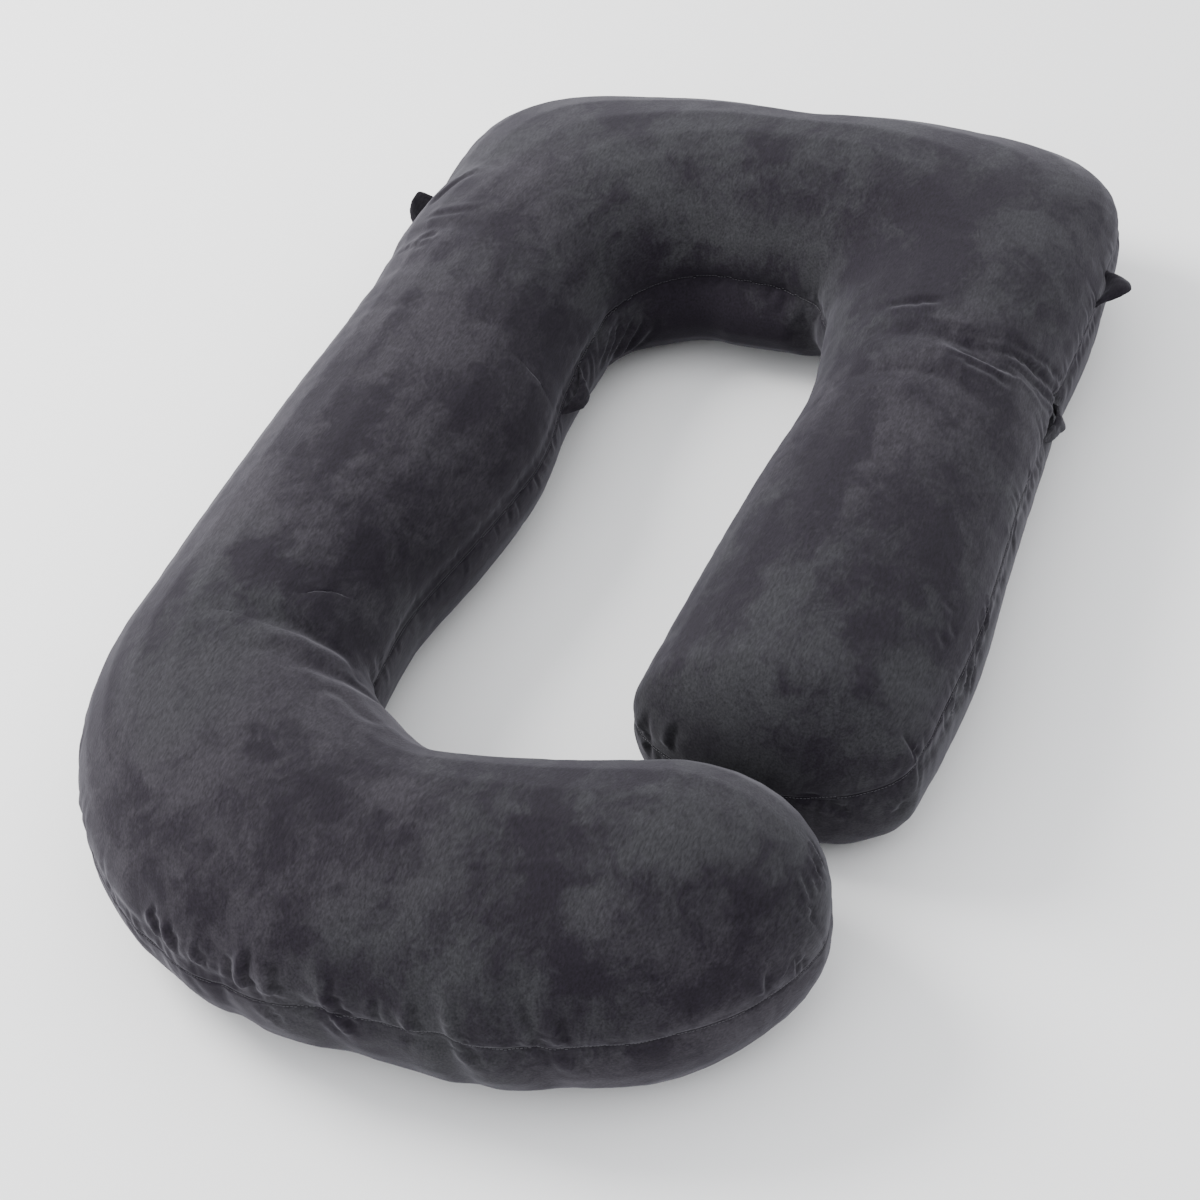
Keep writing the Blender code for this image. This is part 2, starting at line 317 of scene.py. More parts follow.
def roundTube(points, offset):
    # degrees round the tube: 0 at the outer seam, 90 on the crown, 180 at the inner seam
    up = (points[:, 2] - tube["seamHeight"]) / tube["rise"]
    degrees = np.degrees(np.arctan2(up, offset / tube["halfWidth"])) % 360.0
    return np.where(degrees > 270.0, degrees - 360.0, degrees)


def fromInside(tree, distance, degrees):
    # the point of the cover seen from the middle line in that direction
    index = min(np.searchsorted(lineDistance, distance), len(lineDistance) - 1)
    place, heading = linePoints[index], lineHeadings[index]
    across = math.cos(math.radians(degrees)) * tube["halfWidth"]
    up = math.sin(math.radians(degrees)) * tube["rise"]
    start = Vector((place[0], place[1], tube["seamHeight"]))
    return np.array(tree.ray_cast(start, Vector((heading[1] * across, -heading[0] * across, up)))[0])


# the cover, swollen by its filling

filling = {
    "quadAngle": 60,            # triangles that meet flatter than this become quads
    "voxel": 0.0065,
    "voxelRounds": 4,           # of averaging, against the steps of the voxels
    "startInside": 0.0035,      # the cloth starts this far inside the full shape
    "frames": 20,
    "cap": 0.022,               # the most that a point may move
    "growth": 0.05,             # how much longer the panels are than the stitched edge
    "seamBand": (0.004, 0.016), # heights off the seam between which the growth comes in
    "restBand": (0.002, 0.03),  # heights above the floor between which the cloth comes free of it
    "pressedBelow": 0.004,      # the cloth can't move up to this height
    "holdPanels": 0.04,         # how firmly the panels and the stitched edge keep their place
    "holdSeam": 0.7,
    "cloth": {"quality": 4, "mass": 0.3, "air_damping": 2.0, "tension_stiffness": 40.0,
              "compression_stiffness": 40.0, "shear_stiffness": 5.0, "bending_stiffness": 0.06,
              "use_pressure": True, "uniform_pressure_force": 8.0},
    "formRounds": 30,           # of averaging, which tell the form from its wrinkles
    "fineRounds": 2,
    "wrinkleSeam": 0.22,        # of the wrinkles' depth that is kept beside the seam
    "wrinkleCrown": 0.12,       # and far from it
    "wrinkleReach": 0.045,
}
seam = {
    "fineBand": 0.022,          # the mesh is twice as fine up to this height off the seam
    "rows": (0.0, 0.0012, -0.0012, 0.0027, -0.0027),
    "grooveDepth": 0.0012,
    "grooveHalfWidth": 0.0019,
    "dip": 0.0010,              # of the wide hollow that the thread pulls
    "dipHalfWidth": 0.010,
    "wander": 0.0014,           # how far the line strays from level
    "wanderLength": 0.07,
    "flatBand": 0.005,          # no fold at the seam, and all of it past this height
    "wanderReach": 0.03,
    "normalRounds": 3,
    "spacing": 0.002,           # between the points of the walked seam
    "endStep": 3,               # degrees between its points round the two ends
}


def copyNode(name, newName):
    piece = nodes[name].copy()
    piece.data = nodes[name].data.copy()
    piece.name = piece.data.name = newName
    for key in [key for key in piece.keys() if key.startswith("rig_")]:
        del piece[key]
    piece.parent = None
    bpy.context.scene.collection.objects.link(piece)
    piece.data.materials.clear()
    inEditMode(piece, lambda: bpy.ops.mesh.remove_doubles(threshold=0.00002),
               bpy.ops.mesh.customdata_custom_splitnormals_clear)
    return piece


def addGroup(piece, name, weights):
    group = piece.vertex_groups.new(name=name)
    for index in np.nonzero(weights > 0.01)[0]:
        group.add([int(index)], float(weights[index]), "REPLACE")


def swell(piece):
    # pressure fills the panels, which pucker where the shorter stitched edge holds them
    start = places(piece)
    height = np.abs(levelled(start)[:, 2] - tube["seamHeight"])
    sewn = 1.0 - smooth(height, *filling["seamBand"])
    hold = filling["holdPanels"] + (filling["holdSeam"] - filling["holdPanels"]) * sewn
    addGroup(piece, "stitchedEdge", sewn)
    addGroup(piece, "held", np.where(start[:, 2] < filling["pressedBelow"], 1.0, hold))
    pick(piece)
    cloth = piece.modifiers.new("Filling", "CLOTH")
    cloth.collision_settings.use_collision = False
    cloth.point_cache.frame_start, cloth.point_cache.frame_end = 1, filling["frames"]
    for key, value in filling["cloth"].items():
        setattr(cloth.settings, key, value)
    cloth.settings.vertex_group_mass = "held"
    cloth.settings.vertex_group_shrink = "stitchedEdge"
    cloth.settings.shrink_min, cloth.settings.shrink_max = -filling["growth"], 0.0
    cloth.settings.effector_weights.gravity = 0.0
    for number in range(1, filling["frames"] + 1):
        bpy.context.scene.frame_set(number)
    bpy.ops.object.modifier_apply(modifier=cloth.name)
    bpy.context.scene.frame_set(1)

    moved = places(piece) - start
    length = np.linalg.norm(moved, axis=1)
    print("filled: cloth moved by", round(float(length.mean()) * 1000, 1), "mm, at most",
          round(float(length.max()) * 1000, 1))
    moved *= np.minimum(1.0, filling["cap"] / np.maximum(length, 1e-9))[:, None]
    setPlaces(piece, start + moved)


def fitForm(piece):
    # the broad form goes back to the solid's surface, and its wrinkles ride on that
    tree = treeOf(nodes["pillow"])
    edges = edgesOf(piece)
    above = (levelled(places(piece))[:, 2:] - tube["seamHeight"]) / filling["wrinkleReach"]
    kept = filling["wrinkleCrown"] + (filling["wrinkleSeam"] - filling["wrinkleCrown"]) * bell(above)
    for last in (False, False, True):
        points = places(piece)
        proud = np.empty((len(points), 1))
        for index, spot in enumerate(points):
            found, normal = tree.find_nearest(Vector(spot))[:2]
            proud[index] = (Vector(spot) - found).dot(normal)
        form = averaged(proud, edges, filling["formRounds"])
        wrinkles = averaged(proud - form, edges, filling["fineRounds"])
        target = wrinkles * kept if last else proud - form
        points += softNormals(piece, filling["fineRounds"]) * (target - proud)
        points[:, 2] = np.maximum(points[:, 2], 0.0)
        setPlaces(piece, points)


def refineSeam(piece):
    # finer cloth beside the seam, then rows of points exactly on it
    pick(piece)
    middle = np.empty(len(piece.data.polygons) * 3, np.float32)
    piece.data.polygons.foreach_get("center", middle)
    near = np.abs(middle.reshape(-1, 3)[:, 2] - tube["seamHeight"]) < seam["fineBand"]
    piece.data.polygons.foreach_set("select", near)
    bpy.ops.object.mode_set(mode="EDIT")
    bpy.ops.mesh.select_mode(type="FACE")
    bpy.ops.object.mode_set(mode="OBJECT")
    piece.data.polygons.foreach_set("select", near)
    bpy.ops.object.mode_set(mode="EDIT")
    bpy.ops.mesh.subdivide(number_cuts=1, smoothness=1.0)
    bpy.ops.object.mode_set(mode="OBJECT")
    for row in seam["rows"]:
        spot = (0.0, 0.0, tube["seamHeight"] + row)
        inEditMode(piece, lambda: bpy.ops.mesh.bisect(plane_co=spot, plane_no=(0.0, 0.0, 1.0)))


def walkSeam(tree):
    # the seam's points in order, once round: outer side, curled end, inner side, arm's end
    onLine = (lineDistance >= 0.0) & (lineDistance <= lineDistance[-1] - tube["curlTip"])
    begin, end = np.nonzero(onLine)[0][[0, -1]]
    rays = [(index, 0.0) for index in range(begin, end)]
    rays += [(end, degrees) for degrees in range(0, 180, seam["endStep"])]
    rays += [(index, 180.0) for index in range(end, begin, -1)]
    rays += [(begin, degrees) for degrees in range(180, 360, seam["endStep"])]
    loop = []
    for index, degrees in rays:
        ahead, aside = math.sin(math.radians(degrees)), math.cos(math.radians(degrees))
        heading, start = lineHeadings[index], linePoints[index]
        way = (heading[1] * aside + heading[0] * ahead, -heading[0] * aside + heading[1] * ahead, 0.0)
        found = tree.ray_cast(Vector((start[0], start[1], tube["seamHeight"])), Vector(way))[0]
        loop.append(np.array(found))
    loop = np.array(loop + loop[:1])
    length = passed(loop)[-1]
    print("seam walked:", round(float(length), 3), "m")
    return resampled(loop, np.arange(0.0, length, seam["spacing"]))


def makeCover():
    piece = copyNode("pillow", "pillowCover")
    makeQuads(piece, filling["quadAngle"])
    divide(piece, 1)
    applyModifier(piece, "REMESH", mode="VOXEL", voxel_size=filling["voxel"])
    points = averaged(places(piece), edgesOf(piece), filling["voxelRounds"])
    inward = filling["startInside"] * smooth(points[:, 2], *filling["restBand"])
    points -= normalsOf(piece) * inward[:, None]
    points[:, 2] = np.maximum(points[:, 2], 0.0)
    setPlaces(piece, points)
    swell(piece)
    piece.vertex_groups.clear()
    fitForm(piece)
    divide(piece, 1)
    setPlaces(piece, levelled(places(piece)))
    refineSeam(piece)
    print("cover made:", len(piece.data.polygons), "faces")
    return piece


# folds of the cloth: the path gives distance along the line and degrees round the tube
folds = {
    # path, half width, depth, height of the ridge beside it as a share of the depth
    "footFront": (
        (((2.41, 22), (2.419, 2), (2.428, -9)), 0.0044, 0.0032, 0.8),
        (((2.373, -3), (2.384, -14)), 0.004, 0.0022, 0.6),
        (((2.517, 22), (2.53, 2), (2.544, -9)), 0.0044, 0.0032, 0.8),
        (((2.57, 27), (2.589, 6), (2.598, -9)), 0.0044, 0.003, 0.7),
        (((2.604, 18), (2.617, 3)), 0.0038, 0.0034, 0.6),
        (((2.621, -2), (2.627, -15)), 0.004, 0.002, 0.6),
        (((2.366, 24), (2.368, 2)), 0.004, 0.0044, 0.9),
        (((2.378, 19), (2.386, 3)), 0.0038, 0.0044, 0.9),
        (((2.351, 15), (2.354, 1)), 0.0036, 0.0036, 0.8),
        (((2.333, 15), (2.339, 2)), 0.0036, 0.0034, 0.8),
        (((2.313, 18), (2.319, 1)), 0.0036, 0.0032, 0.7),
        (((2.295, 18), (2.307, 2)), 0.0036, 0.003, 0.7),
        (((2.446, 15), (2.449, 3)), 0.004, 0.003, 0.6),
        (((2.483, 17), (2.487, 3)), 0.0042, 0.003, 0.6),
    ),
    "curlEnd": (
        (((2.781, 31), (2.786, 8), (2.788, -15)), 0.0036, 0.003, 0.6),
        (((2.762, 26), (2.765, 1)), 0.0036, 0.0028, 0.6),
        (((2.771, 137), (2.779, 138), (2.785, 138), (2.79, 142)), 0.0026, 0.0022, 0.9),
        (((2.779, 126), (2.785, 124), (2.788, 122), (2.792, 128)), 0.0026, 0.0022, 0.9),
        (((2.787, 111), (2.793, 107)), 0.0026, 0.0018, 0.9),
        (((2.786, 90), (2.79, 86), (2.794, 74)), 0.0026, 0.002, 0.9),
        (((2.776, 104), (2.784, 98), (2.79, 92)), 0.0026, 0.0016, 0.9),
    ),
    "innerCorner": (
        (((2.056, 92), (2.071, 117), (2.078, 135)), 0.008, 0.0014, 0.5),
        (((2.138, 96), (2.124, 122)), 0.008, 0.0012, 0.5),
        (((2.213, 119), (2.229, 132), (2.293, 135), (2.317, 144)), 0.0075, 0.0014, 0.5),
        (((2.086, 148), (2.157, 152)), 0.007, 0.0016, 0.5),
        (((2.054, 163), (2.05, 194)), 0.006, 0.0024, 0.5),
        (((2.02, 165), (2.016, 182)), 0.006, 0.002, 0.5),
    ),
    "rightArm": (
        (((0.509, 75), (0.519, 62), (0.531, 48), (0.534, 36), (0.553, 6), (0.594, -24)),
         0.0044, 0.0024, 0.7),
        (((0.517, 62), (0.513, 44), (0.522, 23), (0.556, -13)), 0.004, 0.002, 0.7),
        (((0.508, 89), (0.494, 74), (0.494, 59), (0.505, 45), (0.505, 12)), 0.004, 0.0018, 0.7),
        (((0.54, 58), (0.551, 40), (0.566, 18), (0.585, -2)), 0.004, 0.0018, 0.7),
        (((0.484, 82), (0.478, 62), (0.482, 44)), 0.0044, 0.0014, 0.6),
        (((0.532, 88), (0.527, 72), (0.541, 58)), 0.0044, 0.0012, 0.6),
        (((0.448, 106), (0.446, 88), (0.445, 72)), 0.006, 0.0009, 0.5),
        (((0.219, 12), (0.18, -1)), 0.0042, 0.0022, 0.9),
        (((0.2, 14), (0.15, -1)), 0.0042, 0.0026, 0.9),
        (((0.142, 6), (0.114, -12)), 0.0042, 0.0026, 0.9),
        (((0.121, 8), (0.109, -2)), 0.0042, 0.0022, 0.9),
        (((0.087, 8), (0.078, -4)), 0.0042, 0.0022, 0.9),
        (((0.15, 40), (0.143, 33)), 0.004, 0.0014, 0.5),
        (((0.135, 34), (0.122, 26)), 0.004, 0.0014, 0.5),
        (((0.113, 37), (0.102, 29)), 0.004, 0.0014, 0.5),
        (((0.561, 118), (0.566, 91)), 0.006, 0.0032, 0.5),
    ),
    "leftShoulder": (
        (((1.326, 60), (1.333, 49), (1.37, 42)), 0.005, 0.002, 0.8),
        (((1.395, 81), (1.394, 50)), 0.0055, 0.0016, 0.6),
        (((1.427, 68), (1.441, 57)), 0.005, 0.0016, 0.6),
        (((1.455, 67), (1.441, 44)), 0.005, 0.0016, 0.6),
    ),
    "innerArch": (
        (((1.345, 183), (1.43, 193), (1.463, 201)), 0.005, 0.0036, 0.9),
        (((1.328, 184), (1.395, 195), (1.444, 204)), 0.005, 0.004, 0.9),
        (((1.312, 188), (1.368, 199), (1.411, 210)), 0.005, 0.004, 0.9),
        (((1.29, 190), (1.34, 205), (1.369, 218)), 0.005, 0.0036, 0.9),
        (((1.262, 190), (1.3, 209), (1.325, 220)), 0.005, 0.0026, 0.7),
    ),
    "armEnd": (
        (((-0.009, 31), (-0.01, 19), (-0.006, 6)), 0.0036, 0.0038, 0.5),
        (((-0.03, 168), (-0.027, 188)), 0.0045, 0.0028, 0.8),
        (((-0.034, 160), (-0.032, 195)), 0.0045, 0.0028, 0.8),
        (((-0.05, 150), (-0.049, 177)), 0.0045, 0.0026, 0.8),
        (((-0.064, -14), (-0.051, -33)), 0.004, 0.003, 0.6),
        (((-0.022, -19), (-0.029, -29)), 0.004, 0.0028, 0.6),
    ),
}
gathers = {
    # side, from and to along the line, spacing, mean length, half width, depth, slant in degrees
    "upper": (
        ("out", -0.2, 0.3, 0.026, 0.03, 0.0036, 0.0004, 12),
        ("out", 0.3, 0.7, 0.022, 0.038, 0.0036, 0.0007, 16),
        ("out", 0.7, 1.1, 0.026, 0.03, 0.0038, 0.0004, -10),
        ("out", 1.1, 1.24, 0.022, 0.034, 0.0034, 0.0008, -14),
        ("out", 1.24, 1.52, 0.011, 0.055, 0.0024, 0.0006, -20),
        ("out", 1.52, 2.15, 0.028, 0.04, 0.004, 0.0005, 10),
        ("out", 2.15, 2.9, 0.022, 0.058, 0.0048, 0.0009, -26),
        ("in", -0.2, 0.6, 0.03, 0.024, 0.0036, 0.0003, -10),
        ("in", 0.6, 0.9, 0.016, 0.04, 0.003, 0.0005, 20),
        ("in", 0.9, 1.45, 0.03, 0.022, 0.0036, 0.0002, 8),
        ("in", 1.45, 2.9, 0.03, 0.026, 0.0036, 0.0003, 10),
    ),
    "lower": (
        ("out", -0.2, 0.7, 0.018, 0.04, 0.0038, 0.0008, -14),
        ("out", 0.7, 2.15, 0.026, 0.032, 0.0036, 0.0006, 12),
        ("out", 2.15, 2.9, 0.024, 0.044, 0.0044, 0.0006, 26),
        ("in", -0.2, 0.7, 0.024, 0.028, 0.0032, 0.0008, 10),
        ("in", 0.7, 1.25, 0.024, 0.034, 0.0034, 0.001, -8),
        ("in", 1.25, 1.5, 0.016, 0.06, 0.0036, 0.0009, -16),
        ("in", 1.5, 2.9, 0.024, 0.03, 0.0032, 0.0008, 10),
    ),
    "seed": 4,
    "scatter": 0.28,            # how far a fold strays along the seam, as a share of the spacing
    "sizes": (0.45, 1.6),       # shares of the depth, length and half width above
    "lengths": (0.6, 1.5),
    "widths": (0.8, 1.4),
    "ridges": (0.4, 1.0),
    "leanSpread": 14.0,         # degrees
    "curlSpread": 7.0,          # bend of the path, in radians a metre
    "lift": 0.001,              # start of a path off the seam, and the stride along it
    "stride": 0.004,
    "fade": (0.10, 0.75),       # shares of the length over which a fold starts and ends
}
foldShape = {
    "fade": (0.3, 0.25),        # the same for the placed folds
    "overrun": 0.04,            # how far a fold reaches past its path, as a share of its length
    "facing": (0.1, 0.5),       # cloth that faces another way keeps clear of the fold
    "ridgeAt": 1.9,             # of the ridge, in half widths of the fold
    "ridgeWidth": 1.25,
    "reach": 5.0,
    "limit": 0.0075,            # of all folds together at a point
    "degreeLength": 0.002,      # metres round the tube for each degree
    "restBand": (0.003, 0.03),  # heights above the floor between which the folds come in
}


def curveThrough(stops, spacing=0.002):
    # an even row of points on a smooth curve through the stops
    stops = np.asarray(stops, float)
    padded = np.vstack([2 * stops[0] - stops[1], stops, 2 * stops[-1] - stops[-2]])
    steps = np.linspace(0.0, 1.0, 12, endpoint=False)[:, None]      # between two stops
    parts = []
    for a, b, c, d in zip(padded, padded[1:], padded[2:], padded[3:]):
        parts.append(0.5 * (2 * b + (c - a) * steps + (2 * a - 5 * b + 4 * c - d) * steps ** 2
                            + (3 * b - a - 3 * c + d) * steps ** 3))
    row = np.vstack(parts + [stops[-1:]])
    length = passed(row)[-1]
    return resampled(row, np.linspace(0.0, length, max(4, int(length / spacing))))


def pressFold(points, normals, push, path, pathNormals, width, depth, ridge, fade):
    # adds to the push outwards: a groove along the path, and a ridge to the right of it, or to
    # the left where the ridge is below 0
    reach = width * foldShape["reach"]
    near = np.nonzero(((points > path.min(0) - reach) & (points < path.max(0) + reach)).all(1))[0]
    if not len(near):
        return
    apart = points[near][:, None, :] - path[None]
    nearest = (apart ** 2).sum(2).argmin(1)
    apart = apart[np.arange(len(near)), nearest]
    tangents = np.gradient(path, axis=0)
    spacing = np.linalg.norm(tangents, axis=1).mean()
    tangents = unit(tangents)
    facing = pathNormals[nearest]
    across = np.cross(tangents[nearest], facing)
    side = (apart * across).sum(1)
    along = (nearest + (apart * tangents[nearest]).sum(1) / spacing) / (len(path) - 1)
    strength = smooth(along, -foldShape["overrun"], fade[0])
    strength *= 1.0 - smooth(along, 1.0 - fade[1], 1.0 + foldShape["overrun"])
    strength *= smooth((normals[near] * facing).sum(1), *foldShape["facing"])
    ridgeAt = math.copysign(foldShape["ridgeAt"] * width, ridge)
    profile = -bell(side / width)
    profile += abs(ridge) * bell((side - ridgeAt) / (foldShape["ridgeWidth"] * width))
    push[near] += depth * strength * profile


def placeFolds(tree, points, normals, push):
    count = 0
    metres = (1.0, foldShape["degreeLength"])
    for rows in folds.values():
        for stops, width, depth, ridge in rows:
            row = curveThrough(np.array(stops) * metres) / metres
            found = np.array([fromInside(tree, distance, degrees) for distance, degrees in row])
            path = curveThrough(levelled(found))
            pathNormals = np.array([np.array(tree.find_nearest(Vector(spot))[1]) for spot in path])
            pressFold(points, normals, push, path, pathNormals, width, depth, ridge,
                      foldShape["fade"])
            count += 1
    return count


def gatherSeam(tree, loop, points, normals, push):
    # short folds that start at the stitches and run out over the panels
    rng = np.random.default_rng(gathers["seed"])
    along, offset = onTube(loop)
    heading = unit(np.gradient(loop, axis=0))
    stride = gathers["stride"]
    count = 0
    for panel, upward in (("upper", 1.0), ("lower", -1.0)):
        for side, begin, end, spacing, length, width, depth, slant in gathers[panel]:
            there = (along >= begin) & (along < end) & ((offset > 0) == (side == "out"))
            index = np.nonzero(there)[0]
            if not len(index):
                continue
            apart = spacing / seam["spacing"]
            spots = np.arange(apart / 2, len(index), apart)
            spots += rng.normal(0, gathers["scatter"] * apart, len(spots))
            spots = np.clip(spots, 0, len(index) - 1)
            for spot in index[spots.astype(int)]:
                size = rng.uniform(*gathers["sizes"])
                lean = math.radians(slant + rng.normal(0, gathers["leanSpread"]))
                curl = rng.normal(0, gathers["curlSpread"])
                reach = length * rng.uniform(*gathers["lengths"])
                direction = np.array((0.0, 0.0, upward)) * math.cos(lean)
                direction += heading[spot] * math.sin(lean)
                here = loop[spot] + direction * gathers["lift"]
                row, rowNormals = [], []
                for _ in range(max(5, int(reach / stride))):
                    found, normal = tree.find_nearest(Vector(here))[:2]
                    here, normal = np.array(found), np.array(normal)
                    row.append(here)
                    rowNormals.append(normal)
                    direction -= normal * direction.dot(normal)
                    direction += np.cross(normal, direction) * curl * stride
                    direction /= np.linalg.norm(direction)
                    here = here + direction * stride
                ridge = rng.choice((-1.0, 1.0)) * rng.uniform(*gathers["ridges"])
                wide = width * rng.uniform(*gathers["widths"])
                pressFold(points, normals, push, np.array(row), np.array(rowNormals),
                          wide, depth * size, ridge, gathers["fade"])
                count += 1
    return count


nap = {
    # brushed patches of the pile, and in the first row a patch of painted shade: distance along the
    # line, metres round the tube from the outer seam, half length, half width, turn from the line in
    # degrees, tone (below 0 is darker)
    "patches": (
        # the first row is painted shade: a dark patch that stands in for the shade on the lower panel
        # inside the arch, and stays dark under any light
        (1.08, 0.44, 0.17, 0.06, 0, -2.0), (1.811, 0.205, 0.073, 0.02, -168, -1.0),
        (1.997, 0.186, 0.048, 0.021, 61, -0.9), (2.05, 0.14, 0.021, 0.025, 149, -0.7),
        (2.278, 0.205, 0.035, 0.018, 5, -0.8), (2.255, 0.101, 0.026, 0.018, 128, -0.7),
        (2.318, 0.067, 0.014, 0.006, 103, -0.8), (2.432, 0.166, 0.019, 0.018, 8, -0.7),
        (2.557, 0.187, 0.029, 0.018, 21, -0.8), (2.579, 0.135, 0.015, 0.014, 8, -0.8),
        (2.504, 0.157, 0.01, 0.009, 8, -0.6), (1.031, 0.226, 0.038, 0.036, -142, -0.8),
        (0.661, 0.293, 0.1, 0.045, -158, -0.8), (0.253, 0.234, 0.042, 0.024, -3, -0.7),
        (0.132, 0.166, 0.04, 0.015, -18, -0.6), (0.073, 0.133, 0.024, 0.019, -56, -0.7),
        (2.739, 0.139, 0.019, 0.016, 20, -0.6), (2.618, 0.072, 0.013, 0.021, 98, -0.6),
        (2.719, 0.044, 0.021, 0.024, 92, -0.5), (1.695, 0.284, 0.029, 0.029, 109, -0.7),
        (1.479, 0.308, 0.05, 0.026, 174, -0.5), (2.361, 0.188, 0.035, 0.01, -17, -0.5),
        (0.766, 0.138, 0.049, 0.018, -47, -0.6), (-0.029, 0.182, 0.026, 0.01, -77, -0.5),
        (0.667, 0.223, 0.045, 0.029, 2, -0.5), (1.948, 0.152, 0.04, 0.038, 172, 0.8),
        (1.23, 0.23, 0.063, 0.038, 158, 0.6), (1.635, 0.227, 0.061, 0.038, -178, 0.7),
        (2.215, 0.139, 0.03, 0.024, 140, 0.6), (2.409, 0.101, 0.031, 0.027, 14, 0.6),
        (2.615, 0.124, 0.028, 0.02, 94, 0.6), (0.31, 0.186, 0.058, 0.023, -3, 0.5),
        (0.025, 0.087, 0.051, 0.041, -5, 0.6), (-0.044, 0.252, 0.029, 0.025, -47, 0.6),
        (2.689, 0.19, 0.037, 0.024, 20, 0.5), (0.537, 0.294, 0.041, 0.033, -1, 0.7),
        (1.263, 0.141, 0.038, 0.031, 171, 0.5), (0.583, 0.168, 0.059, 0.02, -3, 0.6),
        (2.149, 0.188, 0.032, 0.02, 103, 0.6),
    ),
    "fray": 0.014,              # how far the patches' edges stray
    "fraySize": 0.020,
}


def napAndPaintedShadeAt(cloth, points):
    # tone of the placed patches, with the painted shade of the first row among them
    stray = nap["fray"] * softNoise(points, nap["fraySize"], 11)
    stray += 0.5 * nap["fray"] * softNoise(points, nap["fraySize"] / 2.5, 12)
    tone = np.zeros(len(points))
    for distance, around, length, width, turn, strength in nap["patches"]:
        cosine, sine = math.cos(math.radians(turn)), math.sin(math.radians(turn))
        ahead, aside = cloth[:, 0] - distance + stray, cloth[:, 1] - around - stray
        near = ((ahead * cosine + aside * sine) / length) ** 2
        near += ((aside * cosine - ahead * sine) / width) ** 2
        tone += strength * np.exp(-near)
    return tone


def wandering(points):
    # how far the seam strays from level
    return seam["wander"] * softNoise(points[:, :2], seam["wanderLength"], 3)


def storeCloth(piece, cloth, tone, fold):
    # what the velvet reads: place on the cloth, brushed patches with a patch of painted shade among
    # them, and folds in millimetres, which the velvet turns into painted shade and highlight
    storeOn(piece, "clothPlace", cloth)
    storeOn(piece, "nap", tone)
    storeOn(piece, "fold", fold)


def finishCover(piece):
    inEditMode(piece, lambda: bpy.ops.mesh.remove_doubles(threshold=0.0003))
    points = places(piece)
    normals = softNormals(piece, seam["normalRounds"])
    tree = treeOf(piece)
    loop = walkSeam(tree)
    push = np.zeros(len(points))
    placed = placeFolds(tree, points, normals, push)
    gathered = gatherSeam(tree, loop, points, normals, push)
    push = foldShape["limit"] * np.tanh(push / foldShape["limit"])
    push *= smooth(points[:, 2], *foldShape["restBand"])
    print("folds pressed:", placed, "placed and", gathered, "gathered")

    height = points[:, 2] - tube["seamHeight"]
    total = push * smooth(np.abs(height), 0.0, seam["flatBand"])
    total -= seam["grooveDepth"] * bell(height / seam["grooveHalfWidth"])
    total -= seam["dip"] * bell(height / seam["dipHalfWidth"])
    points += normals * total[:, None]
    points[:, 2] += wandering(points) * bell(height / seam["wanderReach"])
    along, offset = onTube(points)
    points = unlevelled(points, seamRise(along, offset))
    setPlaces(piece, points)

    around = np.radians(roundTube(points, offset)) * tube["sectionRadius"]
    cloth = np.stack([along, around, height], axis=1)
    storeCloth(piece, cloth, napAndPaintedShadeAt(cloth, points), push * 1000.0)
    shadeSmooth(piece)

    loop[:, 2] = tube["seamHeight"] + wandering(loop)
    return unlevelled(loop, seamRise(*onTube(loop)))


cover = makeCover()
seamLoop = finishCover(cover)
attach(cover, "root")
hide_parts("pillow")
coverTree = treeOf(cover)


# the thread, one stitch copied all along the seam

thread = {
    "spacing": 0.0034,
    "length": 0.0025,
    "radius": 0.00030,
    "sides": 6,
    "rounding": 0.6,            # of its ends, as a share of the radius
    "outFromGroove": 0.0001,
    "twistScale": 900.0,
    "shaded": (0.05, 0.047, 0.058, 1.0),
    "lit": (0.10, 0.097, 0.11, 1.0),
    "shader": {"Roughness": 0.6},
}


def makeStitches(loop):
    bpy.ops.mesh.primitive_cylinder_add(vertices=thread["sides"], radius=thread["radius"],
                                        depth=thread["length"])
    piece = bpy.context.object
    piece.name = piece.data.name = "seamThread"
    rounding = thread["radius"] * thread["rounding"]
    inEditMode(piece, lambda: bpy.ops.mesh.bevel(offset=rounding, segments=1),
               lambda: bpy.ops.mesh.normals_make_consistent(inside=False))
    shape = places(piece)
    faces = [tuple(face.vertices) for face in piece.data.polygons]

    points, allFaces = [], []
    spots = np.arange(1, len(loop) - 2, thread["spacing"] / seam["spacing"])
    for number, spot in enumerate(spots):
        low = int(spot)
        share = spot - low
        here = loop[low] * (1 - share) + loop[low + 1] * share
        found = coverTree.find_nearest(Vector(here))[0]
        heading = Vector(loop[low + 1] - loop[low - 1]).normalized()
        outward = Vector((heading.y, -heading.x, 0.0))
        turn = np.array(Matrix((heading.cross(outward), outward, heading)).transposed())
        start = np.array(found + outward * thread["outFromGroove"])
        points.append(start + shape @ turn.T)
        allFaces += [tuple(index + number * len(shape) for index in face) for face in faces]
    piece.data.clear_geometry()
    piece.data.from_pydata(np.vstack(points).tolist(), [], allFaces)
    shadeSmooth(piece)
    print("stitches sewn:", len(spots))
    return piece


stitches = makeStitches(seamLoop)
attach(stitches, "root")


# the four loop tabs, each a doubled strip with its long edges turned in

